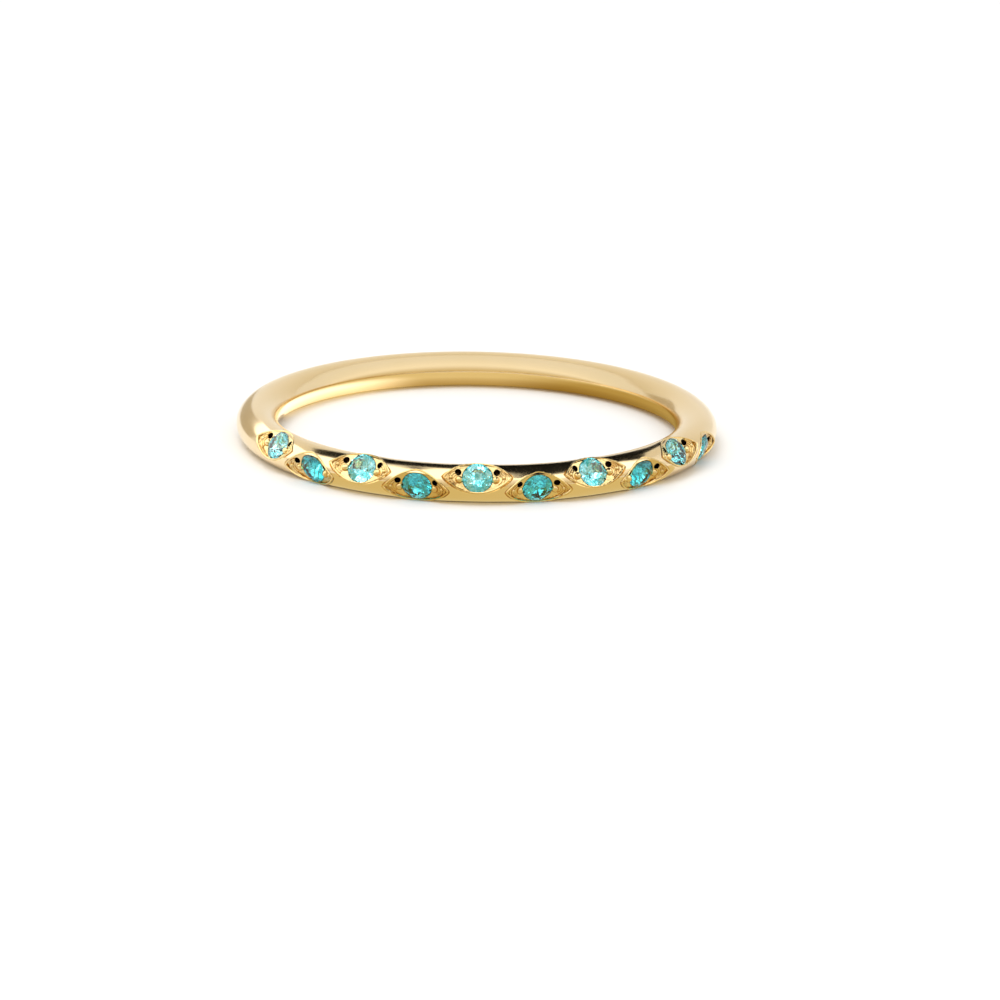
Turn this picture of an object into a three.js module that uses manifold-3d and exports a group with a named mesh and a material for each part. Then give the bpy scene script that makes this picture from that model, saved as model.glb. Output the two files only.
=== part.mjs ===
// A stackable ring: a thin round-wire gold band whose front half carries ten small round brilliants.
// The stones sit in two staggered rows, each in an eye-shaped recess cut into the band and held by
// grains raised from the band's own metal. Millimetres, +Z along the finger, the ring lying on its side
// on z = 0, and -Y through the middle of the row of stones.
import * as THREE from 'three';
import Module from 'manifold-3d';
import { mergeVertices } from 'three/addons/utils/BufferGeometryUtils.js';

const wasm = await Module();
wasm.setup();

// Driving sizes of the band
const FINGER_DIAMETER = 17.2;
const BAND_DEPTH = 1.8;
const BAND_WIDTH = 1.5;

// Driving sizes of a stone
const STONE_DIAMETER = 1.25;
const TABLE_DIAMETER = 0.7;
const CROWN_HEIGHT = 0.19;
const GIRDLE_THICKNESS = 0.03;
const PAVILION_DEPTH = 0.53;
const MAIN_FACET_REACH = 0.2;
const STONE_GAP = 0.02;

// Where the stones stand on the band: angles round the finger, and up and down the band's section.
// The upper ones lean towards the front, out of the square with the band's surface.
const STONES_PER_ROW = 5;
const STONE_STEP = THREE.MathUtils.degToRad(14.3);
const UPPER_ROW_TILT = THREE.MathUtils.degToRad(40);
const LOWER_ROW_TILT = THREE.MathUtils.degToRad(-15);
const UPPER_ROW_LEAN = THREE.MathUtils.degToRad(12);
const UPPER_ROW_LIFT = 0.09;
const LOWER_ROW_LIFT = 0.01;

// The eye-shaped recess round a stone
const EYE_LENGTH = 2.75;
const EYE_MARGIN = 0.01;
const EYE_FLOOR = 0.02;
const EYE_TIP_DEPTH = 0.06;
const EYE_FLARE = 0.35;
const EYE_CUTTER_RISE = 0.24;

// The grains that hold a stone, the small one in each corner of the eye and the scoops above the grains
const GRAIN_DIAMETER = 0.34;
const GRAIN_LAP = 0.04;
const GRAIN_OFFSET = 0.08;
const CORNER_GRAIN_DIAMETER = 0.18;
const CORNER_GRAIN_RISE = 0.03;
const CORNER_GRAIN_INSET = 0.28;
const SCOOP_DIAMETER = 0.3;
const SCOOP_OFFSET = 0.24;
const SCOOP_DEPTH = 0.12;
const SCOOP_WALL = 0.03;

// The soft swell of metal that carries the rim of each eye past the curve of the band
const SWELL_HEIGHT = 0.05;
const SWELL_LENGTH = 0.8;
const SWELL_SHOULDER = 0.8;
const SWELL_HALF_WIDTH = 1.15;

// How finely the curves are divided
const SECTION_SIDES = 20;
const FRONT_STEP = THREE.MathUtils.degToRad(3);
const BACK_STEP = THREE.MathUtils.degToRad(6);
const EYE_SECTIONS = 8;
const GRAIN_SIDES = 8;

const halfDepth = BAND_DEPTH / 2;
const halfWidth = BAND_WIDTH / 2;
const wireRadius = FINGER_DIAMETER / 2 + halfDepth;
const stoneRadius = STONE_DIAMETER / 2;
const stoneCount = 2 * STONES_PER_ROW;
const meanSectionRadius = (halfDepth + halfWidth) / 2;
const surfaceRadius = wireRadius + halfDepth;
const girdleSides = 16;
const seatRadius = stoneRadius / Math.cos(Math.PI / girdleSides) + STONE_GAP;

// The depth at which the seat's edge all round would just be buried in the wire
const buriedDepth = meanSectionRadius - Math.sqrt(meanSectionRadius ** 2 - seatRadius ** 2);

const gold = { color: 0xdcb96c, roughness: 0.12, metalness: 1 };
const teal = { color: 0x4cc4b0, roughness: 0.02, metalness: 0 };

// Solids and meshes

function toSolid(geometry) {
  const bare = geometry.clone();
  bare.deleteAttribute('normal');
  bare.deleteAttribute('uv');
  const merged = mergeVertices(bare, 1e-5);
  return new wasm.Manifold(new wasm.Mesh({
    numProp: 3,
    vertProperties: new Float32Array(merged.attributes.position.array),
    triVerts: new Uint32Array(merged.index.array),
  }));
}

function toGeometry(solid) {
  const mesh = solid.getMesh();
  const geometry = new THREE.BufferGeometry();
  geometry.setAttribute('position', new THREE.BufferAttribute(new Float32Array(mesh.vertProperties), 3));
  geometry.setIndex(new THREE.BufferAttribute(new Uint32Array(mesh.triVerts), 1));
  return geometry;
}

function fromTriangles(points, triangles) {
  const geometry = new THREE.BufferGeometry();
  geometry.setAttribute('position', new THREE.Float32BufferAttribute(points.flat(), 3));
  geometry.setIndex(triangles.flat());
  return geometry;
}

// Settings: where each stone stands. Odd places are in the lower row.

function settingAt(place) {
  const round = (place - (stoneCount - 1) / 2) * STONE_STEP;
  const upper = place % 2 === 0;
  const tilt = upper ? UPPER_ROW_TILT : LOWER_ROW_TILT;
  const lean = upper ? UPPER_ROW_LEAN : 0;
  const sink = buriedDepth - (upper ? UPPER_ROW_LIFT : LOWER_ROW_LIFT);
  const name = `${upper ? 'upper' : 'lower'}_stone_${Math.floor(place / 2) + 1}`;
  return { round, tilt, sink, name, frame: frameAt(round, tilt, lean) };
}

// A frame on the band's surface: x runs round the finger, y across the band and z out of the metal.
function frameAt(round, tilt, lean) {
  const outward = new THREE.Vector3(Math.sin(round), -Math.cos(round), 0);
  const up = new THREE.Vector3(0, 0, 1);
  const along = new THREE.Vector3(Math.cos(round), Math.sin(round), 0);
  const out = outward.clone().multiplyScalar(Math.cos(tilt) / halfDepth)
    .addScaledVector(up, Math.sin(tilt) / halfWidth).normalize().applyAxisAngle(along, lean);
  const across = out.clone().cross(along).normalize();
  const point = outward.clone().multiplyScalar(wireRadius + halfDepth * Math.cos(tilt))
    .addScaledVector(up, halfWidth + halfWidth * Math.sin(tilt));
  return new THREE.Matrix4().makeBasis(along, across, out).setPosition(point);
}

const settings = Array.from({ length: stoneCount }, (_, place) => settingAt(place));

// The band: an elliptical wire bent round the finger, swollen a little round each setting

function swellAt(round, tilt) {
  let height = 0;
  for (const setting of settings) {
    const along = (round - setting.round) * surfaceRadius;
    const across = Math.abs(wrapped(tilt - setting.tilt)) * meanSectionRadius;
    const side = 1 - THREE.MathUtils.smoothstep(across, SWELL_SHOULDER, SWELL_HALF_WIDTH);
    height += SWELL_HEIGHT * side * Math.exp(-((along / SWELL_LENGTH) ** 2));
  }
  return height;
}

function wrapped(angle) {
  return Math.atan2(Math.sin(angle), Math.cos(angle));
}

// Angles round the finger, close together where the stones are
function roundAngles() {
  const reach = (stoneCount / 2) * STONE_STEP + FRONT_STEP;
  const frontCount = Math.max(1, Math.ceil((2 * reach) / FRONT_STEP));
  const backCount = Math.max(1, Math.ceil((2 * Math.PI - 2 * reach) / BACK_STEP));
  const front = Array.from({ length: frontCount }, (_, i) => -reach + (2 * reach * i) / frontCount);
  const back = Array.from({ length: backCount },
    (_, i) => reach + ((2 * Math.PI - 2 * reach) * i) / backCount);
  return [...front, ...back];
}

// The section's sides touch the true ellipse. The lowest one is level and the swell never passes below it,
// so the ring lies flat.
function bandWire() {
  const rounds = roundAngles();
  const sideShare = 1 / Math.cos(Math.PI / SECTION_SIDES);
  const points = [];
  for (const round of rounds) {
    for (let side = 0; side < SECTION_SIDES; side++) {
      const tilt = ((side + 0.5) / SECTION_SIDES) * 2 * Math.PI;
      const swell = swellAt(wrapped(round), tilt);
      const reach = wireRadius + (halfDepth * sideShare + swell) * Math.cos(tilt);
      const height = halfWidth + (halfWidth * sideShare + swell) * Math.sin(tilt);
      points.push([reach * Math.sin(round), -reach * Math.cos(round), Math.max(0, height)]);
    }
  }
  const triangles = [];
  rounds.forEach((_, column) => {
    const here = column * SECTION_SIDES;
    const next = ((column + 1) % rounds.length) * SECTION_SIDES;
    for (let side = 0; side < SECTION_SIDES; side++) {
      const above = (side + 1) % SECTION_SIDES;
      triangles.push([here + side, next + side, next + above], [here + side, next + above, here + above]);
    }
  });
  return toSolid(fromTriangles(points, triangles));
}

// The eye-shaped cutter is pointed at both ends. Its floor lies a little under the stone's girdle and
// comes up towards the corners, and its walls open outwards, so that no rim hangs over the stone.

function eyeHalfWidthAt(along) {
  const halfLength = EYE_LENGTH / 2;
  const widest = seatRadius + EYE_MARGIN;
  const arc = (halfLength ** 2 + widest ** 2) / (2 * widest);
  return Math.sqrt(arc ** 2 - along ** 2) - (arc - widest);
}

// How deep the floor lies under the band's surface, at a share of the way from the stone to a corner
function floorDepthAt(share, sink) {
  const middleDepth = sink + GIRDLE_THICKNESS + EYE_FLOOR;
  return EYE_TIP_DEPTH + (middleDepth - EYE_TIP_DEPTH) * (1 - share ** 2);
}

function eyeCutter(sink) {
  const rim = [];
  const floor = [];
  const halfLength = EYE_LENGTH / 2;
  for (let i = 0; i <= EYE_SECTIONS; i++) {
    const share = -Math.cos((Math.PI * i) / EYE_SECTIONS);
    const along = share * halfLength;
    const drop = along ** 2 / (2 * surfaceRadius);
    const wide = eyeHalfWidthAt(along);
    rim.push([along * (1 + EYE_FLARE), wide * (1 + EYE_FLARE), EYE_CUTTER_RISE - drop]);
    floor.push([along, wide, -floorDepthAt(share, sink) - drop]);
  }
  return bodyBetween([...rim, ...mirrored(rim)], [...floor, ...mirrored(floor)]);
}

// The other side of an outline, walked back, without its two end points
function mirrored(side) {
  return side.slice(1, -1).reverse().map(([x, y, z]) => [x, -y, z]);
}

// A closed body between two outlines of as many points, the first above the second, each run clockwise
function bodyBetween(top, bottom) {
  const count = top.length;
  const middleOf = (ring) => [0, 1, 2].map((axis) => ring.reduce((sum, p) => sum + p[axis], 0) / count);
  const points = [...top, ...bottom, middleOf(top), middleOf(bottom)];
  const topMiddle = 2 * count;
  const bottomMiddle = topMiddle + 1;
  const triangles = [];
  for (let i = 0; i < count; i++) {
    const next = (i + 1) % count;
    triangles.push([topMiddle, next, i]);
    triangles.push([bottomMiddle, count + i, count + next]);
    triangles.push([i, next, count + next], [i, count + next, count + i]);
  }
  return fromTriangles(points, triangles);
}

// Round brilliant: table, 8 stars, 8 kites, 16 upper and 16 lower girdle facets and 8 pavilion mains.
// The girdle's top is at z = 0.

const culetDepth = GIRDLE_THICKNESS + PAVILION_DEPTH;

function brilliant() {
  const table = TABLE_DIAMETER / 2;
  const halfFacet = Math.cos(Math.PI / 8);
  const starReach = (table / halfFacet + stoneRadius) / 2;
  const starDrop = ((starReach * halfFacet - table) * CROWN_HEIGHT) / (stoneRadius - table);
  const meetReach = stoneRadius * MAIN_FACET_REACH;
  const meetRise = (meetReach * halfFacet * PAVILION_DEPTH) / stoneRadius;
  const ringOf = (count, turn, reach, z) => Array.from({ length: count }, (_, i) => {
    const angle = ((i + turn) / count) * 2 * Math.PI;
    return [reach * Math.cos(angle), reach * Math.sin(angle), z];
  });
  const points = [
    ...ringOf(8, 0, table, CROWN_HEIGHT),
    ...ringOf(8, 0.5, starReach, CROWN_HEIGHT - starDrop),
    ...ringOf(girdleSides, 0, stoneRadius, 0),
    ...ringOf(girdleSides, 0, stoneRadius, -GIRDLE_THICKNESS),
    ...ringOf(8, 0.5, meetReach, meetRise - culetDepth),
    [0, 0, -culetDepth],
    [0, 0, CROWN_HEIGHT],
  ];
  const star = 8;
  const up = star + 8;
  const low = up + girdleSides;
  const meet = low + girdleSides;
  const culetPoint = meet + 8;
  const tableMiddle = culetPoint + 1;
  const triangles = [];
  for (let i = 0; i < 8; i++) {
    const next = (i + 1) % 8;
    const last = (i + 7) % 8;
    const corner = 2 * i;
    const between = corner + 1;
    const after = (corner + 2) % girdleSides;
    triangles.push([tableMiddle, i, next], [i, star + i, next]);
    triangles.push([i, up + corner, star + i], [i, star + last, up + corner]);
    triangles.push([star + i, up + corner, up + between], [star + i, up + between, up + after]);
    triangles.push([up + corner, low + corner, low + between], [up + corner, low + between, up + between]);
    triangles.push([up + between, low + between, low + after], [up + between, low + after, up + after]);
    triangles.push([meet + i, low + between, low + corner], [meet + i, low + after, low + between]);
    triangles.push([culetPoint, meet + i, low + corner], [culetPoint, low + corner, meet + last]);
  }
  return fromTriangles(points, triangles);
}

// The seat is turned with a round burr and follows the stone's outline, STONE_GAP clear of it.
function seatCutter() {
  const profile = [
    [0, -culetDepth - STONE_GAP],
    [seatRadius, -GIRDLE_THICKNESS],
    [seatRadius, STONE_GAP],
    [TABLE_DIAMETER / 2 + STONE_GAP, CROWN_HEIGHT + STONE_GAP],
    [0, CROWN_HEIGHT + STONE_GAP],
  ];
  const cutter = new THREE.LatheGeometry(profile.map(([x, y]) => new THREE.Vector2(x, y)), girdleSides);
  return cutter.rotateX(Math.PI / 2);
}

// Grains are round beads of metal, the larger ones lapping the stone's edge, and scoops are round hollows.

function beadAt(diameter, along, across, middle) {
  const bead = new THREE.SphereGeometry(diameter / 2, GRAIN_SIDES, GRAIN_SIDES / 2);
  bead.rotateX(Math.PI / 2);
  return bead.translate(along, across, middle - along ** 2 / (2 * surfaceRadius));
}

const holding = stoneRadius - GRAIN_LAP + GRAIN_DIAMETER / 2;
const corner = EYE_LENGTH / 2 - CORNER_GRAIN_INSET;

// The scoops keep a wall of metal between them and the seat.
const scoopReach = seatRadius + SCOOP_WALL + SCOOP_DIAMETER / 2;
const scoopAlong = Math.sqrt(scoopReach ** 2 - SCOOP_OFFSET ** 2);

function grains(sink) {
  const cornerMiddle = CORNER_GRAIN_RISE - floorDepthAt((2 * corner) / EYE_LENGTH, sink);
  return [-1, 1].flatMap((side) => [
    beadAt(GRAIN_DIAMETER, side * holding, -GRAIN_OFFSET, -sink),
    beadAt(CORNER_GRAIN_DIAMETER, side * corner, 0, cornerMiddle),
  ]);
}

function scoops(sink) {
  return [-1, 1].map((side) =>
    beadAt(SCOOP_DIAMETER, side * scoopAlong, SCOOP_OFFSET, SCOOP_DIAMETER / 2 - sink - SCOOP_DEPTH));
}

// The stone's frame: its girdle's top lies as deep as the setting's sink.
function stoneFrame(setting) {
  return setting.frame.clone().multiply(new THREE.Matrix4().makeTranslation(0, 0, -setting.sink));
}

function bandSolid() {
  let band = bandWire();
  for (const setting of settings) {
    const placed = (geometry) => toSolid(geometry.applyMatrix4(setting.frame));
    band = band.subtract(placed(eyeCutter(setting.sink)));
    scoops(setting.sink).forEach((scoop) => { band = band.subtract(placed(scoop)); });
    grains(setting.sink).forEach((grain) => { band = band.add(placed(grain)); });
    band = band.subtract(toSolid(seatCutter().applyMatrix4(stoneFrame(setting))));
  }
  return band;
}

// The assembled ring

const ring = new THREE.Group();

const band = new THREE.Mesh(toGeometry(bandSolid()), new THREE.MeshStandardMaterial(gold));
band.name = 'band';
ring.add(band);

for (const setting of settings) {
  const stone = new THREE.Mesh(brilliant(), new THREE.MeshStandardMaterial(teal));
  stone.name = setting.name;
  stone.applyMatrix4(stoneFrame(setting));
  ring.add(stone);
}

export default ring;
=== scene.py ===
import math

import bpy
import numpy as np
from mathutils import Euler, Matrix, Quaternion, Vector


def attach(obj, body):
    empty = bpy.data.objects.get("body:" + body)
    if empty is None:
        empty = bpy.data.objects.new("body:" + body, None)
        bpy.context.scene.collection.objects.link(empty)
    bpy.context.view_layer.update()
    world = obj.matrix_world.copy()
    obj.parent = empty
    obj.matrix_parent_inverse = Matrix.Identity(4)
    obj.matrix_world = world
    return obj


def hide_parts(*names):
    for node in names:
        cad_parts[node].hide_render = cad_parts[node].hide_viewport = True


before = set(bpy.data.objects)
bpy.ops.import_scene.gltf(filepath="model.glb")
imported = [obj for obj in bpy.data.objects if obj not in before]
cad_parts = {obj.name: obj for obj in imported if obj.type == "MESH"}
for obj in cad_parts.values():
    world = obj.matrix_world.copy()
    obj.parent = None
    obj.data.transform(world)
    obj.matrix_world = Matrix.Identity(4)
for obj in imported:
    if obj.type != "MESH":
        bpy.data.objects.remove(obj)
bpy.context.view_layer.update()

# The band
# A thin wire of 14 carat yellow gold, oval in section, bent round the finger, soldered shut and polished.
# Its front is swollen a little round each stone and carved with ten eye-shaped recesses, whose grains are
# raised from the same metal. It lies on its side.

MM = 0.001
FINGER_DIAMETER = 17.2 * MM
WIRE_DEPTH = 1.8 * MM
WIRE_WIDTH = 1.5 * MM
WIRE_CIRCLE = FINGER_DIAMETER / 2 + WIRE_DEPTH / 2
SURFACE_CIRCLE = WIRE_CIRCLE + WIRE_DEPTH / 2
SECTION_RADIUS = (WIRE_DEPTH + WIRE_WIDTH) / 4

STONES_IN_ROW = 5
STONE_STEP = math.radians(14.3)
STONE_DIAMETER = 1.25 * MM
GIRDLE_SIDES = 16
SEAT_GAP = 0.02 * MM
SEAT_RADIUS = STONE_DIAMETER / 2 / math.cos(math.pi / GIRDLE_SIDES) + SEAT_GAP
BURIED_DEPTH = SECTION_RADIUS - math.sqrt(SECTION_RADIUS**2 - SEAT_RADIUS**2)
UPPER_TILT = math.radians(40)
UPPER_LEAN = math.radians(12)
UPPER_PROUD = 0.09 * MM
LOWER_TILT = math.radians(-15)
LOWER_PROUD = 0.01 * MM

# Each setting has its stone's name, its angle round the finger, its tilt up the wire's section, and the
# depth of the stone's girdle under the metal's surface. Upper and lower stones take turns.

ROWS = (("upper", UPPER_TILT, UPPER_PROUD), ("lower", LOWER_TILT, LOWER_PROUD))
SETTINGS = []
for place in range(2 * STONES_IN_ROW):
    row, tilt, proud = ROWS[place % 2]
    round_angle = (place - (2 * STONES_IN_ROW - 1) / 2) * STONE_STEP
    SETTINGS.append((f"{row}_stone_{place // 2 + 1}", round_angle, tilt, BURIED_DEPTH - proud))

SWELL_HEIGHT = 0.05 * MM
SWELL_LENGTH = 0.8 * MM
SWELL_SHOULDER = 0.8 * MM
SWELL_HALF_WIDTH = 1.15 * MM


def swell(round_angle, tilt):
    """How far the metal is raised round the stones."""
    height = np.zeros(np.broadcast(round_angle, tilt).shape)
    for _, at_round, at_tilt, _ in SETTINGS:
        along = np.angle(np.exp(1j * (round_angle - at_round))) * SURFACE_CIRCLE
        across = np.abs(np.angle(np.exp(1j * (tilt - at_tilt)))) * SECTION_RADIUS
        share = np.clip((across - SWELL_SHOULDER) / (SWELL_HALF_WIDTH - SWELL_SHOULDER), 0, 1)
        fall = 1 - share * share * (3 - 2 * share)
        height += SWELL_HEIGHT * fall * np.exp(-((along / SWELL_LENGTH) ** 2))
    return height


def wire_point(round_angle, tilt):
    """Points on the polished wire, on a last axis of three. None lies under the table."""
    raised = swell(round_angle, tilt)
    reach = WIRE_CIRCLE + (WIRE_DEPTH / 2 + raised) * np.cos(tilt)
    height = WIRE_WIDTH / 2 + (WIRE_WIDTH / 2 + raised) * np.sin(tilt)
    height = np.maximum(height, 0)
    return np.stack([reach * np.sin(round_angle), -reach * np.cos(round_angle), height], axis=-1)


def wire_normal(round_angle, tilt):
    step = 1e-4
    round_way = wire_point(round_angle + step, tilt) - wire_point(round_angle - step, tilt)
    tilt_way = wire_point(round_angle, tilt + step) - wire_point(round_angle, tilt - step)
    out = np.cross(round_way, tilt_way)
    return out / np.maximum(np.linalg.norm(out, axis=-1, keepdims=True), 1e-12)


def mesh_object(name, points, faces, materials, finish=0):
    mesh = bpy.data.meshes.new(name)
    mesh.from_pydata([tuple(p) for p in points], [], faces)
    for material in materials:
        mesh.materials.append(material)
    mesh.polygons.foreach_set("material_index", [finish] * len(faces))
    mesh.update()
    piece = bpy.data.objects.new(name, mesh)
    bpy.context.collection.objects.link(piece)
    return piece


FRONT_REACH = math.radians(77)
FRONT_POINTS = 361
BACK_POINTS = 82
SECTION_POINTS = 80


def plain_wire(materials):
    """The wire before it is carved, drawn finely where the stones are."""
    front = np.linspace(-FRONT_REACH, FRONT_REACH, FRONT_POINTS)
    back = np.linspace(FRONT_REACH, 2 * math.pi - FRONT_REACH, BACK_POINTS)[1:-1]
    rounds = np.concatenate([front, back])
    tilts = np.arange(SECTION_POINTS) / SECTION_POINTS * 2 * math.pi
    points = wire_point(rounds[:, None], tilts[None, :]).reshape(-1, 3)
    faces = []
    for i in range(len(rounds)):
        here = i * SECTION_POINTS
        there = (i + 1) % len(rounds) * SECTION_POINTS
        for j in range(SECTION_POINTS):
            above = (j + 1) % SECTION_POINTS
            faces.append((here + j, there + j, there + above, here + above))
    return mesh_object("band_gold", points, faces, materials)


def setting_frame(round_angle, tilt, sink=0.0):
    """x runs round the finger, y across the band and z out of the metal. Upper settings lean forward."""
    outward = Vector((math.sin(round_angle), -math.cos(round_angle), 0))
    along = Vector((math.cos(round_angle), math.sin(round_angle), 0))
    up = Vector((0, 0, 1))
    out = (outward * math.cos(tilt) / WIRE_DEPTH + up * math.sin(tilt) / WIRE_WIDTH).normalized()
    if tilt > 0:
        out.rotate(Quaternion(along, UPPER_LEAN))
    across = out.cross(along).normalized()
    middle = outward * (WIRE_CIRCLE + WIRE_DEPTH / 2 * math.cos(tilt))
    middle += up * (WIRE_WIDTH / 2 * (1 + math.sin(tilt))) - out * sink
    place = Matrix((along, across, out)).transposed().to_4x4()
    place.translation = middle
    return place


def drop(along):
    """How far the round band falls away from a setting's plane."""
    return along**2 / (2 * SURFACE_CIRCLE)


# The eyes
# Ten recesses with two pointed corners each, cut into the band's front with a graver. Their floors are
# dished and lie deepest under the stones. Each long side of an eye is an arc.

EYE_LENGTH = 2.75 * MM
EYE_HALF_LENGTH = EYE_LENGTH / 2
EYE_HALF_WIDTH = SEAT_RADIUS + 0.01 * MM
EYE_ARC_RADIUS = (EYE_HALF_LENGTH**2 + EYE_HALF_WIDTH**2) / (2 * EYE_HALF_WIDTH)
EYE_TIP_DEPTH = 0.06 * MM
EYE_STEPS = 40
EYE_CUTTER_SPREAD = 1.35
EYE_CUTTER_RISE = 0.24 * MM
GIRDLE_THICKNESS = 0.03 * MM


def eye_half_width(along):
    return np.sqrt(EYE_ARC_RADIUS**2 - along**2) - (EYE_ARC_RADIUS - EYE_HALF_WIDTH)


def eye_edge():
    """The upper side of an eye, as shares of its half length and the half widths there."""
    shares = -np.cos(np.linspace(0, math.pi, EYE_STEPS + 1))
    widths = eye_half_width(shares * EYE_HALF_LENGTH)
    widths[0] = widths[-1] = 0
    return shares, widths


def floor_depth(share, sink):
    """How deep the floor lies at a share of the eye's half length."""
    middle_depth = sink + GIRDLE_THICKNESS + SEAT_GAP
    return EYE_TIP_DEPTH + (middle_depth - EYE_TIP_DEPTH) * (1 - share**2)


def eyes(_place, sink):
    """The eye-shaped cutter: a mouth over the metal that is wider than the eye, and the dished floor."""
    outline = list(zip(*eye_edge()))
    outline += [(share, -width) for share, width in outline[-2:0:-1]]
    count = len(outline)
    levels = ((EYE_CUTTER_SPREAD, EYE_CUTTER_RISE), (1.0, None), (0.6, None), (0.25, None))
    points = []
    for scale, rise in levels:
        for share, width in outline:
            along = share * EYE_HALF_LENGTH
            height = rise or -floor_depth(share * min(scale, 1), sink)
            points.append((along * scale, width * scale, height - drop(along * min(scale, 1))))
    top, bottom, last = len(points), len(points) + 1, len(points) - count
    points += [(0, 0, EYE_CUTTER_RISE), (0, 0, -floor_depth(0, sink))]
    faces = []
    for i in range(count):
        after = (i + 1) % count
        faces.append((top, after, i))
        for level in range(len(levels) - 1):
            a, b = level * count, (level + 1) * count
            faces.append((a + i, a + after, b + after, b + i))
        faces.append((bottom, last + i, last + after))
    return [(points, faces)]


# The rims and the graver's arcs
# A thin bright edge of the band's own gold stands round each eye, where the graver has run along it.
# Inside the eye the graver leaves arcs round the grains, towards the corners.

RIM_RADIUS = 0.042 * MM
RIM_SPREAD = 1.01
RIM_SINK = 0.012 * MM
LOWEST_RIM = 0.004 * MM
RIDGE_RADIUS = 0.035 * MM
RIDGE_REACHES = (0.25 * MM, 0.35 * MM, 0.45 * MM)
RIDGE_HALF_TURN = 1.15
RIDGE_POINTS = 15
RIDGE_ACROSS = -0.06 * MM
RIDGE_SQUASH = 0.9
RIDGE_RISE = 0.02 * MM
RIDGE_WIDTH_SHARE = 0.96
RIDGE_LENGTH_SHARE = 0.95
GRAIN_RADIUS = 0.17 * MM
GRAIN_OVERLAP = 0.04 * MM
GRAIN_ALONG = STONE_DIAMETER / 2 - GRAIN_OVERLAP + GRAIN_RADIUS
LOWEST_SURFACE = -0.7 * MM
HIGHEST_SURFACE = 0.4 * MM
HALVINGS = 30


def surface_height(place, along, across):
    """How high the uncarved wire stands over a setting's plane at each place, found by halving."""
    matrix = np.array(place)
    low = np.full(len(along), LOWEST_SURFACE)
    high = np.full(len(along), HIGHEST_SURFACE)
    for _ in range(HALVINGS):
        middle = (low + high) / 2
        x, y, z, _one = matrix @ np.stack([along, across, middle, np.ones(len(along))])
        round_angle = np.arctan2(x, -y)
        reach = np.hypot(x, y) - WIRE_CIRCLE
        height = z - WIRE_WIDTH / 2
        tilt = np.arctan2(height / WIRE_WIDTH, reach / WIRE_DEPTH)
        raised = swell(round_angle, tilt)
        outside = (reach / (WIRE_DEPTH / 2 + raised)) ** 2 + (height / (WIRE_WIDTH / 2 + raised)) ** 2 > 1
        high = np.where(outside, middle, high)
        low = np.where(outside, low, middle)
    return low


def thread(path, radius):
    """Points and faces of a round thread of metal along a path, closed at both ends."""
    sides = 8
    way = np.gradient(path, axis=0)
    way /= np.linalg.norm(way, axis=1, keepdims=True)
    side_way = np.cross(way, (0.0, 0.0, 1.0))
    side_way /= np.linalg.norm(side_way, axis=1, keepdims=True)
    up_way = np.cross(side_way, way)
    angles = np.arange(sides) / sides * 2 * math.pi
    rings = path[:, None] + radius * (
        np.cos(angles)[None, :, None] * side_way[:, None] + np.sin(angles)[None, :, None] * up_way[:, None]
    )
    faces = []
    for i in range(len(path) - 1):
        here, there = i * sides, (i + 1) * sides
        for j in range(sides):
            after = (j + 1) % sides
            faces.append((here + j, there + j, there + after, here + after))
    faces.append(tuple(range(sides)))
    faces.append(tuple((len(path) - 1) * sides + j for j in reversed(range(sides))))
    return [tuple(p) for p in rings.reshape(-1, 3)], faces


def rim(place, half):
    """The rim over an eye, where half is 1, or under it, where half is -1. It stays over the table."""
    shares, widths = eye_edge()
    along, across = RIM_SPREAD * (shares * EYE_HALF_LENGTH), RIM_SPREAD * half * widths
    height = surface_height(place, along, across) - RIM_SINK
    points, faces = thread(np.stack([along, across, height], axis=1), RIM_RADIUS)
    back = place.inverted()
    over_the_table = []
    for point in points:
        spot = place @ Vector(point)
        spot.z = max(spot.z, LOWEST_RIM)
        over_the_table.append(tuple(back @ spot))
    return [(over_the_table, faces)]


def rims_above(place, _sink):
    return rim(place, 1)


def rims_below(place, _sink):
    return rim(place, -1)


def ridges(_place, sink):
    """Three arcs round each grain, cut short where they would leave the eye."""
    shapes = []
    turn = np.linspace(-RIDGE_HALF_TURN, RIDGE_HALF_TURN, RIDGE_POINTS)
    for side in (-1, 1):
        for reach in RIDGE_REACHES:
            along = side * (GRAIN_ALONG + reach * np.cos(turn))
            across = RIDGE_ACROSS + reach * np.sin(turn) * RIDGE_SQUASH
            in_width = np.abs(across) < eye_half_width(along) * RIDGE_WIDTH_SHARE
            in_length = np.abs(along) < EYE_HALF_LENGTH * RIDGE_LENGTH_SHARE
            along, across = along[in_width & in_length], across[in_width & in_length]
            height = -floor_depth(2 * np.abs(along) / EYE_LENGTH, sink) - drop(along) + RIDGE_RISE
            shapes.append(thread(np.stack([along, across, height], axis=1), RIDGE_RADIUS))
    return shapes


# The grains, the hollows and the seats
# Two grains are pressed over each stone's edge to hold it, and a small one fills each corner of its eye.
# Beside each big grain is a drilled hollow, and the stone lies in a cone turned with a burr.

GRAIN_ACROSS = -0.08 * MM
CORNER_GRAIN_RADIUS = 0.09 * MM
CORNER_GRAIN_ALONG = EYE_HALF_LENGTH - 0.28 * MM
CORNER_GRAIN_RISE = 0.03 * MM
HOLLOW_RADIUS = 0.15 * MM
HOLLOW_STRETCH = 1.4
HOLLOW_SINK = 0.02 * MM
HOLLOW_GAP = 0.03 * MM
HOLLOW_ACROSS = 0.24 * MM
HOLLOW_ALONG = math.sqrt((SEAT_RADIUS + HOLLOW_GAP + HOLLOW_RADIUS) ** 2 - HOLLOW_ACROSS**2)
SEAT_SIDES = 48
SEAT_DEPTH = 0.58 * MM
SEAT_MOUTH_RADIUS = 0.37 * MM
SEAT_MOUTH_HEIGHT = 0.21 * MM


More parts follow.
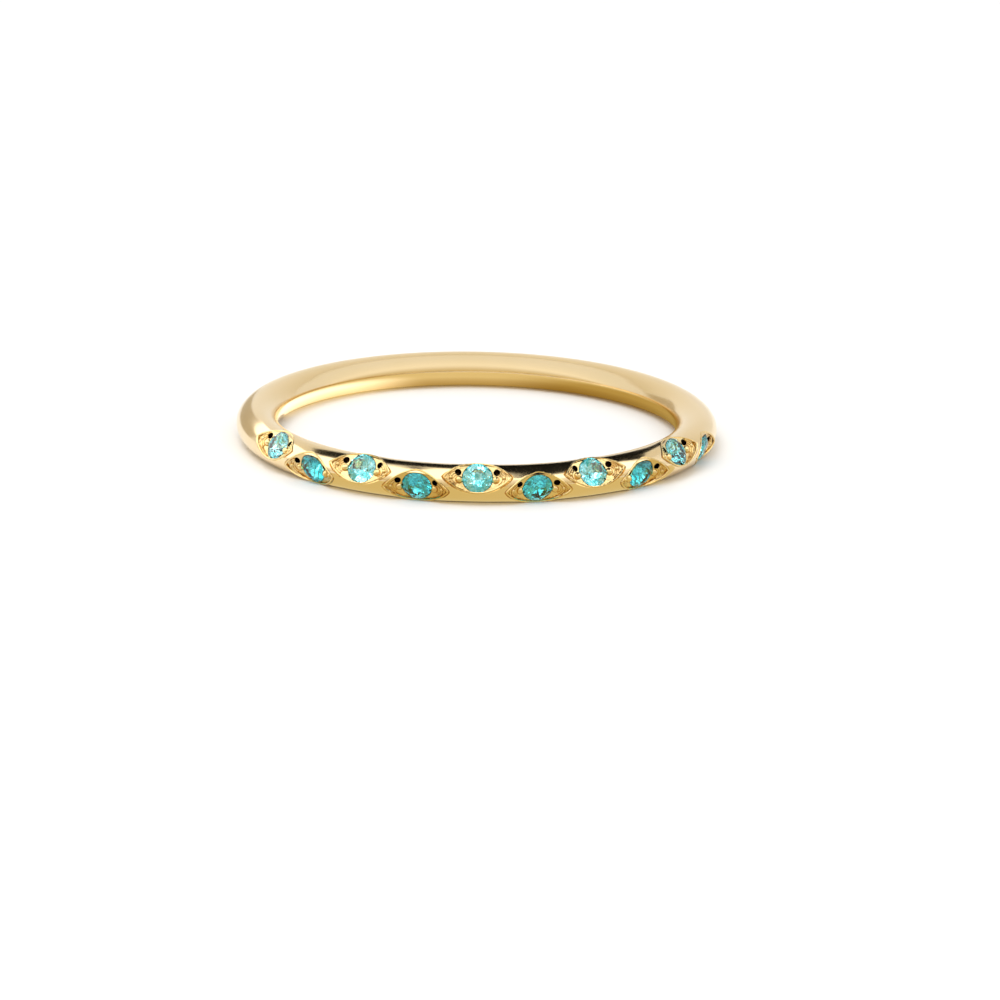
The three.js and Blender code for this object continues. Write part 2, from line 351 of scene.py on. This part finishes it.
def turned_faces(sides, rings):
    """Faces of a turned body that has a point at each end and rings of points between them."""
    faces = []
    for side in range(sides):
        after = (side + 1) % sides
        faces.append((0, 1 + after, 1 + side))
        for ring in range(rings - 1):
            a, b = 1 + ring * sides, 1 + (ring + 1) * sides
            faces.append((a + side, a + after, b + after, b + side))
        last = 1 + (rings - 1) * sides
        faces.append((last + sides, last + side, last + after))
    return faces


def bead(radius, along, across, middle, stretch=1.0, sides=20):
    """Points and faces of a round bead, the shape of a grain and of the drill for a hollow."""
    halves = sides // 2
    points = [(along, across, middle - drop(along) - radius * stretch)]
    for ring in range(1, halves):
        turn = math.pi * ring / halves
        for side in range(sides):
            angle = 2 * math.pi * side / sides
            points.append((
                along + radius * math.sin(turn) * math.cos(angle),
                across + radius * math.sin(turn) * math.sin(angle),
                middle - drop(along) - radius * stretch * math.cos(turn),
            ))
    points.append((along, across, middle - drop(along) + radius * stretch))
    return points, turned_faces(sides, halves - 1)


def hollows(_place, sink):
    return [
        bead(HOLLOW_RADIUS, side * HOLLOW_ALONG, HOLLOW_ACROSS, -HOLLOW_SINK - sink, HOLLOW_STRETCH)
        for side in (-1, 1)
    ]


def grains(_place, sink):
    corner_height = CORNER_GRAIN_RISE - floor_depth(2 * CORNER_GRAIN_ALONG / EYE_LENGTH, sink)
    shapes = []
    for side in (-1, 1):
        shapes.append(bead(GRAIN_RADIUS, side * GRAIN_ALONG, GRAIN_ACROSS, -sink))
        shapes.append(bead(CORNER_GRAIN_RADIUS, side * CORNER_GRAIN_ALONG, 0, corner_height, sides=14))
    return shapes


def seats(_place, sink):
    """The burr: a cone, a short wall for the girdle, and a narrower mouth that leaves the grains' tips."""
    wall = STONE_DIAMETER / 2 + SEAT_GAP
    levels = ((wall, -GIRDLE_THICKNESS), (wall, SEAT_GAP), (SEAT_MOUTH_RADIUS, SEAT_MOUTH_HEIGHT))
    points = [(0, 0, -SEAT_DEPTH - sink)]
    for reach, height in levels:
        for side in range(SEAT_SIDES):
            angle = 2 * math.pi * side / SEAT_SIDES
            points.append((reach * math.cos(angle), reach * math.sin(angle), height - sink))
    points.append((0, 0, SEAT_MOUTH_HEIGHT - sink))
    return [(points, turned_faces(SEAT_SIDES, len(levels)))]


# The gold and its finishes
# The wire is polished all round. The eyes' floors, rims and grains are left as the graver cut them. The
# drilled hollows are never polished inside and hold a little dark oxide; most of their near-black colour
# is painted shade and a painted dark reflection.

POLISHED, CARVED, HOLLOW = range(3)
GOLD_CLOUDS = 220
GOLD_CLOUD_EDGES = (0.3, 0.7)
SHARP_ANGLE = math.radians(35)


def clouded(name, dark, pale, cloud_size, edges):
    """A material with soft clouds between two colours, its shader, and the coordinates for its noise."""
    material = bpy.data.materials.new(name)
    material.use_nodes = True
    nodes, links = material.node_tree.nodes, material.node_tree.links
    shader = nodes["Principled BSDF"]
    place = nodes.new("ShaderNodeTexCoord")
    clouds = nodes.new("ShaderNodeTexNoise")
    clouds.inputs["Scale"].default_value = cloud_size
    clouds.inputs["Detail"].default_value = 3
    links.new(place.outputs["Object"], clouds.inputs["Vector"])
    colours = nodes.new("ShaderNodeValToRGB")
    for stop, position, colour in zip(colours.color_ramp.elements, edges, (dark, pale)):
        stop.position = position
        stop.color = (*colour, 1)
    links.new(clouds.outputs["Fac"], colours.inputs["Fac"])
    links.new(colours.outputs["Color"], shader.inputs["Base Color"])
    return material, shader, place


def gold(name, dark, bright, graver_marks):
    """Gold that is rubbed a little duller in places, with or without the graver's fine marks."""
    material, shader, place = clouded(name, dark, bright, GOLD_CLOUDS, GOLD_CLOUD_EDGES)
    nodes, links = material.node_tree.nodes, material.node_tree.links
    shader.inputs["Metallic"].default_value = 1.0
    rub = nodes.new("ShaderNodeTexNoise")
    rub.inputs["Scale"].default_value = 900
    rub.inputs["Detail"].default_value = 6
    links.new(place.outputs["Object"], rub.inputs["Vector"])
    dull = nodes.new("ShaderNodeMapRange")
    dull.inputs["To Min"].default_value = 0.13
    dull.inputs["To Max"].default_value = 0.21
    links.new(rub.outputs["Fac"], dull.inputs["Value"])
    links.new(dull.outputs["Result"], shader.inputs["Roughness"])
    if graver_marks:
        cuts = nodes.new("ShaderNodeTexNoise")
        cuts.inputs["Scale"].default_value = 6000
        cuts.inputs["Detail"].default_value = 4
        links.new(place.outputs["Object"], cuts.inputs["Vector"])
        bump = nodes.new("ShaderNodeBump")
        bump.inputs["Strength"].default_value = 0.5
        bump.inputs["Distance"].default_value = 0.05 * MM
        links.new(cuts.outputs["Fac"], bump.inputs["Height"])
        links.new(bump.outputs["Normal"], shader.inputs["Normal"])
    return material


gold_finishes = (
    gold("polished_gold", (0.87, 0.68, 0.39), (0.91, 0.72, 0.44), False),
    gold("carved_gold", (0.72, 0.50, 0.20), (0.90, 0.71, 0.38), True),
    # Near-black gold for the drilled hollows: painted shade and a painted dark reflection in the holes,
    # with a little dark oxide.
    gold("painted_shade_hollow_gold", (0.020, 0.011, 0.004), (0.10, 0.055, 0.02), False),
)


def carve(band, shapes_for, finish, how):
    """Cuts one shape or more out of each setting, or joins them to it, in a single step for the band."""
    points, faces = [], []
    for _, at_round, at_tilt, sink in SETTINGS:
        place = setting_frame(at_round, at_tilt)
        for shape_points, shape_faces in shapes_for(place, sink):
            start = len(points)
            points += [place @ Vector(p) for p in shape_points]
            faces += [tuple(start + i for i in face) for face in shape_faces]
    tool = mesh_object(shapes_for.__name__, points, faces, gold_finishes, finish)
    step = band.modifiers.new(tool.name, "BOOLEAN")
    step.solver = "MANIFOLD"
    step.operation = how
    step.object = tool
    bpy.context.view_layer.objects.active = band
    bpy.ops.object.modifier_apply(modifier=step.name)
    bpy.data.objects.remove(tool)


band = plain_wire(gold_finishes)
carve(band, eyes, CARVED, "DIFFERENCE")
carve(band, rims_above, CARVED, "UNION")
carve(band, rims_below, CARVED, "UNION")
carve(band, ridges, CARVED, "UNION")
carve(band, hollows, HOLLOW, "DIFFERENCE")
carve(band, grains, CARVED, "UNION")
carve(band, seats, CARVED, "DIFFERENCE")


def polish(piece):
    """Gives the wire's own surface the true normals of its curve, so that it mirrors without facets."""
    mesh = piece.data
    mesh.set_sharp_from_angle(angle=SHARP_ANGLE)
    count = len(mesh.loops)
    normals = np.empty(count * 3)
    mesh.corner_normals.foreach_get("vector", normals)
    normals = normals.reshape(-1, 3)
    corners = np.empty(count, dtype=int)
    mesh.loops.foreach_get("vertex_index", corners)
    points = np.empty(len(mesh.vertices) * 3)
    mesh.vertices.foreach_get("co", points)
    points = points.reshape(-1, 3)[corners]
    finish = np.empty(len(mesh.polygons), dtype=int)
    mesh.polygons.foreach_get("material_index", finish)
    sizes = np.empty(len(mesh.polygons), dtype=int)
    mesh.polygons.foreach_get("loop_total", sizes)
    own = np.repeat(finish == POLISHED, sizes)
    round_angle = np.arctan2(points[:, 0], -points[:, 1])
    reach = np.hypot(points[:, 0], points[:, 1]) - WIRE_CIRCLE
    height = points[:, 2] - WIRE_WIDTH / 2
    tilt = np.arctan2(height / WIRE_WIDTH, reach / WIRE_DEPTH)
    for _ in range(4):
        raised = swell(round_angle, tilt)
        tilt = np.arctan2(height / (WIRE_WIDTH / 2 + raised), reach / (WIRE_DEPTH / 2 + raised))
    normals[own] = wire_normal(round_angle, tilt)[own]
    mesh.normals_split_custom_set([tuple(n) for n in normals])


polish(band)
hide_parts("band")
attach(band, "root")

# The stones
# Ten small round brilliants of one teal colour, cut with a table, stars, kites, girdle facets and pavilion
# mains. Each sits in its own seat and is held by the grains pressed over its edge.

TABLE_RADIUS = 0.35 * MM
CROWN_HEIGHT = 0.19 * MM
PAVILION_DEPTH = 0.53 * MM
MAIN_REACH = 0.2
TURN_BETWEEN_STONES = 17
CROWN_CLOUDS = 2500
PAVILION_CLOUDS = 6500
STONE_CLOUD_EDGES = (0.35, 0.65)


def brilliant(name, materials):
    """A stone with its girdle's top at height 0. The pavilion takes the second material."""
    radius = STONE_DIAMETER / 2
    half_facet = math.cos(math.pi / 8)
    star_reach = (TABLE_RADIUS / half_facet + radius) / 2
    star_height = CROWN_HEIGHT * (1 - (star_reach * half_facet - TABLE_RADIUS) / (radius - TABLE_RADIUS))
    culet = -GIRDLE_THICKNESS - PAVILION_DEPTH
    meet_height = culet + MAIN_REACH * half_facet * PAVILION_DEPTH

    def ring(count, turn, reach, height):
        angles = [(i + turn) / count * 2 * math.pi for i in range(count)]
        return [(reach * math.cos(a), reach * math.sin(a), height) for a in angles]

    points = ring(8, 0, TABLE_RADIUS, CROWN_HEIGHT) + ring(8, 0.5, star_reach, star_height)
    points += ring(GIRDLE_SIDES, 0, radius, 0) + ring(GIRDLE_SIDES, 0, radius, -GIRDLE_THICKNESS)
    points += ring(8, 0.5, radius * MAIN_REACH, meet_height) + [(0, 0, culet)]
    star, up, low, meet, tip = 8, 16, 32, 48, 56
    faces = [tuple(range(8))]
    mirrored = [0]
    for i in range(8):
        after, before = (i + 1) % 8, (i + 7) % 8
        corner, between, next_corner = 2 * i, 2 * i + 1, (2 * i + 2) % GIRDLE_SIDES
        faces.append((i, star + i, after))
        faces.append((i, star + before, up + corner, star + i))
        faces.append((star + i, up + corner, up + between))
        faces.append((star + i, up + between, up + next_corner))
        faces.append((up + corner, low + corner, low + between, up + between))
        faces.append((up + between, low + between, low + next_corner, up + next_corner))
        faces.append((meet + i, low + between, low + corner))
        faces.append((meet + i, low + next_corner, low + between))
        faces.append((tip, meet + i, low + corner, meet + before))
        mirrored += [0] * 6 + [1] * 3
    stone = mesh_object(name, points, faces, materials)
    stone.data.polygons.foreach_set("material_index", mirrored)
    return stone


def crown_glass(name, deep, pale):
    material, shader, _ = clouded(name, deep, pale, CROWN_CLOUDS, STONE_CLOUD_EDGES)
    shader.inputs["Transmission Weight"].default_value = 1.0
    shader.inputs["IOR"].default_value = 1.7
    shader.inputs["Roughness"].default_value = 0.0
    return material


def pavilion_mirror(name, deep, pale):
    """The pavilion throws the light back up as total reflection does, without any of the gold below it."""
    material, shader, _ = clouded(name, deep, pale, PAVILION_CLOUDS, STONE_CLOUD_EDGES)
    shader.inputs["Metallic"].default_value = 1.0
    shader.inputs["Roughness"].default_value = 0.04
    return material


# The stones are all one teal. The upper row's paler tint is painted light and the lower row's deeper tint
# is painted shade, because the lower stones face down, away from the light.
lit_upper_teal = (
    crown_glass("upper_teal_crown", (0.52, 0.93, 0.98), (0.80, 0.98, 1.0)),
    pavilion_mirror("upper_teal_pavilion", (0.16, 0.68, 0.72), (0.95, 1.0, 1.0)),
)
shaded_lower_teal = (
    crown_glass("lower_teal_crown", (0.11, 0.72, 0.78), (0.25, 0.86, 0.92)),
    pavilion_mirror("lower_teal_pavilion", (0.12, 0.55, 0.60), (0.70, 1.0, 1.0)),
)
for number, (name, at_round, at_tilt, sink) in enumerate(SETTINGS):
    stone = brilliant(name + "_cut", lit_upper_teal if at_tilt == UPPER_TILT else shaded_lower_teal)
    turn = Euler((0, 0, math.radians(TURN_BETWEEN_STONES * number))).to_matrix().to_4x4()
    stone.data.transform(setting_frame(at_round, at_tilt, sink) @ turn)
    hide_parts(name)
    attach(stone, "root")

# The table and the light
# A white studio table that curves up behind into a wall, under a soft sky of pale panels that is creamier
# low in front of the ring. One wide lamp hangs over the front at the left.

TABLE_FRONT = -0.6
TABLE_HALF_LENGTH = 0.9
CURVE_START = 0.35
CURVE_RADIUS = 0.25
CURVE_STEPS = 12
WALL_HEIGHT = 0.8


def table_sheet():
    white = bpy.data.materials.new("white_table")
    white.use_nodes = True
    shader = white.node_tree.nodes["Principled BSDF"]
    shader.inputs["Base Color"].default_value = (0.92, 0.93, 0.95, 1)
    shader.inputs["Roughness"].default_value = 0.6
    shader.inputs["Specular IOR Level"].default_value = 0.2
    profile = [(TABLE_FRONT, 0.0), (CURVE_START, 0.0)]
    for step in range(1, CURVE_STEPS + 1):
        turn = math.radians(90) * step / CURVE_STEPS
        profile.append((CURVE_START + CURVE_RADIUS * math.sin(turn), CURVE_RADIUS * (1 - math.cos(turn))))
    profile.append((CURVE_START + CURVE_RADIUS, WALL_HEIGHT))
    points = [(x, y, z) for x in (-TABLE_HALF_LENGTH, TABLE_HALF_LENGTH) for y, z in profile]
    count = len(profile)
    faces = [(i, i + count, i + count + 1, i + 1) for i in range(count - 1)]
    sheet = mesh_object("studio_table", points, faces, [white])
    for face in sheet.data.polygons:
        face.use_smooth = True
    return sheet


table_sheet()

lamp = bpy.data.lights.new("key_panel", "AREA")
lamp.shape = "RECTANGLE"
lamp.size = 0.34
lamp.size_y = 0.30
lamp.energy = 1.0
key_panel = bpy.data.objects.new("key_panel", lamp)
key_panel.location = (-0.15, -0.16, 0.50)
key_panel.rotation_euler = (-key_panel.location).to_track_quat("-Z", "Y").to_euler()
key_panel.visible_glossy = False
bpy.context.collection.objects.link(key_panel)

# The sky's colours run over the ring from the front, at 0, to the back, at 1.

SKY_FRONT = (0.56, 0.47, 0.28)
SKY_BACK = (0.74, 0.74, 0.74)
SKY_BETWEEN = (
    (0.10, (0.66, 0.58, 0.42)),
    (0.20, (0.83, 0.80, 0.74)),
    (0.27, (0.93, 0.92, 0.88)),
    (0.42, (0.83, 0.82, 0.80)),
    (0.60, (0.78, 0.78, 0.77)),
)

world = bpy.data.worlds.new("studio_air")
bpy.context.scene.world = world
world.use_nodes = True
sky_nodes, sky_links = world.node_tree.nodes, world.node_tree.links
sky = sky_nodes["Background"]
sky.inputs["Strength"].default_value = 1.2
direction = sky_nodes.new("ShaderNodeTexCoord")
parts = sky_nodes.new("ShaderNodeSeparateXYZ")
forward = sky_nodes.new("ShaderNodeMath")
forward.operation = "MULTIPLY"
forward.inputs[1].default_value = -1
over = sky_nodes.new("ShaderNodeMath")
over.operation = "ARCTAN2"
half_turn = sky_nodes.new("ShaderNodeMath")
half_turn.operation = "DIVIDE"
half_turn.inputs[1].default_value = math.pi
bands = sky_nodes.new("ShaderNodeValToRGB")
bands.color_ramp.interpolation = "B_SPLINE"
bands.color_ramp.elements[0].color = (*SKY_FRONT, 1)
bands.color_ramp.elements[1].color = (*SKY_BACK, 1)
for position, colour in SKY_BETWEEN:
    bands.color_ramp.elements.new(position).color = (*colour, 1)
sky_links.new(direction.outputs["Generated"], parts.inputs["Vector"])
sky_links.new(parts.outputs["Y"], forward.inputs[0])
sky_links.new(parts.outputs["Z"], over.inputs[0])
sky_links.new(forward.outputs["Value"], over.inputs[1])
sky_links.new(over.outputs["Value"], half_turn.inputs[0])
sky_links.new(half_turn.outputs["Value"], bands.inputs["Fac"])
sky_links.new(bands.outputs["Color"], sky.inputs["Color"])

# The reflected cards
# Thin coloured cards round the ring, as a jewellery photographer sets them. A white and a black one lean
# over its front for the cream face and the dark line along its top. Others colour its back, ends and
# underside, and small bright ones make the stones sparkle.

WHITE_CARD_EDGE = ((-40, 0), (-9.5, 0), (-9.5, -6), (24, -6), (26, -34), (-44, -34))
BLACK_CARD_EDGE = (
    (-8.4, -2.6), (-2.4, -1.2), (8.2, -0.8), (8.2, -5.0), (5.7, -9.0), (6.8, -12.4),
    (2.4, -18.0), (1.6, -17.0), (0.8, -8.8), (-3.0, -5.8), (-9.0, -5.0),
)
TAN_CARD = ((-10, 60, 0.1), (-14, 60, 24), (-50, 45, 24), (-50, 45, 0.1))
GOLDEN_CARD = ((-13, -7, 0.05), (-13, -70, 0.05), (13, -70, 0.05), (13, -7, 0.05))


def reflected_card(name, corners, colour, strength):
    """A card that only mirrors and glass see, from one side alone. Its corners are in millimetres."""
    material = bpy.data.materials.new(name)
    material.use_nodes = True
    nodes, links = material.node_tree.nodes, material.node_tree.links
    nodes.clear()
    glow = nodes.new("ShaderNodeEmission")
    glow.inputs["Color"].default_value = (*colour, 1)
    glow.inputs["Strength"].default_value = strength
    clear = nodes.new("ShaderNodeBsdfTransparent")
    side = nodes.new("ShaderNodeNewGeometry")
    choice = nodes.new("ShaderNodeMixShader")
    output = nodes.new("ShaderNodeOutputMaterial")
    links.new(side.outputs["Backfacing"], choice.inputs["Fac"])
    links.new(glow.outputs["Emission"], choice.inputs[1])
    links.new(clear.outputs["BSDF"], choice.inputs[2])
    links.new(choice.outputs["Shader"], output.inputs["Surface"])
    points = [tuple(v * MM for v in corner) for corner in corners]
    card = mesh_object(name, points, [tuple(range(len(points)))], [material])
    card.visible_camera = False
    card.visible_diffuse = False
    card.visible_shadow = False
    return card


def leaning(edge, height, slope):
    """Corners of a card that rises away from the ring, from its height over the ring's middle."""
    return [(x, y, height - slope * y) for x, y in edge]


white_corners = leaning(WHITE_CARD_EDGE, height=2.3, slope=0.832)
black_corners = leaning(BLACK_CARD_EDGE, height=2.8, slope=0.6)
reflected_card("white_card", white_corners, (1, 0.99, 0.94), strength=2)
reflected_card("black_card", black_corners, (0, 0, 0), strength=0)
reflected_card("tan_card", TAN_CARD, (0.56, 0.49, 0.37), strength=1)
golden_card = reflected_card("golden_card", GOLDEN_CARD, (0.76, 0.65, 0.34), strength=1)
golden_card.visible_transmission = False

GLOW_OUTER = 9.35
GLOW_INNER = 2.0
GLOW_FROM = 72
GLOW_TO = 242
GLOW_HEIGHT = 0.008
GLOW_BROWN = (0.27, 0.20, 0.065)
GLOW_TAN = (0.43, 0.37, 0.22)
GLOW_CREAM = (1.0, 0.99, 0.95)
GLOW_EDGE_TINT = (0.58, 0.45, 0.22)


def glow_on_the_table():
    """The card inside the ring's back: cream at the left, brown at the right, darker towards the ring."""
    outer = np.radians(np.linspace(GLOW_FROM, GLOW_TO, 69))
    inner = np.radians(np.linspace(GLOW_TO, GLOW_FROM, 35))
    edge = [(GLOW_OUTER * math.sin(a), -GLOW_OUTER * math.cos(a)) for a in outer]
    edge += [(GLOW_INNER * math.sin(a), -GLOW_INNER * math.cos(a)) for a in inner]
    corners = leaning(edge, height=GLOW_HEIGHT, slope=0)
    card = reflected_card("table_glow", corners, GLOW_CREAM, strength=2)
    card.visible_transmission = False
    nodes, links = card.active_material.node_tree.nodes, card.active_material.node_tree.links
    glow = next(n for n in nodes if n.type == "EMISSION")
    place = nodes.new("ShaderNodeTexCoord")
    parts = nodes.new("ShaderNodeSeparateXYZ")
    links.new(place.outputs["Object"], parts.inputs["Vector"])
    leftness = nodes.new("ShaderNodeMapRange")
    leftness.inputs["From Min"].default_value = 5.0 * MM
    leftness.inputs["From Max"].default_value = -4.6 * MM
    links.new(parts.outputs["X"], leftness.inputs["Value"])
    tint = nodes.new("ShaderNodeValToRGB")
    tint.color_ramp.interpolation = "EASE"
    tint.color_ramp.elements[0].color = (*GLOW_BROWN, 1)
    tint.color_ramp.elements[1].color = (*GLOW_CREAM, 1)
    tint.color_ramp.elements.new(0.36).color = (*GLOW_TAN, 1)
    tint.color_ramp.elements.new(0.62).color = (*GLOW_TAN, 1)
    links.new(leftness.outputs["Result"], tint.inputs["Fac"])
    reach = nodes.new("ShaderNodeVectorMath")
    reach.operation = "LENGTH"
    links.new(place.outputs["Object"], reach.inputs["Vector"])
    nearness = nodes.new("ShaderNodeMapRange")
    nearness.inputs["From Min"].default_value = 8.2 * MM
    nearness.inputs["From Max"].default_value = 9.2 * MM
    links.new(reach.outputs["Value"], nearness.inputs["Value"])
    shade = nodes.new("ShaderNodeMix")
    shade.data_type = "RGBA"
    shade.blend_type = "MULTIPLY"
    colour_in = [socket for socket in shade.inputs if socket.type == "RGBA"]
    colour_out = next(socket for socket in shade.outputs if socket.type == "RGBA")
    colour_in[1].default_value = (*GLOW_EDGE_TINT, 1)
    links.new(nearness.outputs["Result"], shade.inputs["Factor"])
    links.new(tint.outputs["Color"], colour_in[0])
    links.new(colour_out, glow.inputs["Color"])


glow_on_the_table()

# The small bright cards hang over the ring's front, by turns nearer and farther, lower and higher.

SPARKLE_CARDS = 7
SPARKLE_HALF_SIZE = 4.5
SPARKLE_STRENGTH = 7

for number in range(SPARKLE_CARDS):
    middle = Vector((-36 + 12 * number, -26 - 10 * (number % 2), 22 + 12 * (number % 3)))
    across = middle.cross((0, 0, 1)).normalized() * SPARKLE_HALF_SIZE
    upward = across.cross(middle).normalized() * SPARKLE_HALF_SIZE
    lower_corners = [middle - across - upward, middle + across - upward]
    upper_corners = [middle + across + upward, middle - across + upward]
    corners = lower_corners + upper_corners
    sparkle = reflected_card(f"sparkle_card_{number + 1}", corners, (1, 1, 1), SPARKLE_STRENGTH)
    sparkle.visible_glossy = False

# The camera
# A long lens looks down on the ring from the front and a little from the left, 18 cm away, as for a close
# photograph of jewellery. It is rolled by about a degree.

CAMERA_DISTANCE = 180.4 * MM
CAMERA_SIDE = math.radians(-7.55)
CAMERA_RISE = math.radians(15.17)
CAMERA_AIM = (0.94 * MM, -1.04 * MM, -2.46 * MM)
CAMERA_ROLL = math.radians(1.13)
CAMERA_LENS = 149.7
CAMERA_NEAREST = 0.005

camera = bpy.data.objects.new("camera", bpy.data.cameras.new("camera"))
bpy.context.collection.objects.link(camera)
level = CAMERA_DISTANCE * math.cos(CAMERA_RISE)
camera.location = (
    level * math.sin(CAMERA_SIDE),
    -level * math.cos(CAMERA_SIDE),
    CAMERA_DISTANCE * math.sin(CAMERA_RISE) + WIRE_WIDTH / 2,
)
look = (Vector(CAMERA_AIM) - camera.location).to_track_quat("-Z", "Y")
camera.rotation_mode = "QUATERNION"
camera.rotation_quaternion = look @ Euler((0, 0, CAMERA_ROLL)).to_quaternion()
camera.data.lens = CAMERA_LENS
camera.data.sensor_width = 36
camera.data.clip_start = CAMERA_NEAREST
bpy.context.scene.camera = camera
bpy.context.scene.view_settings.view_transform = "Standard"
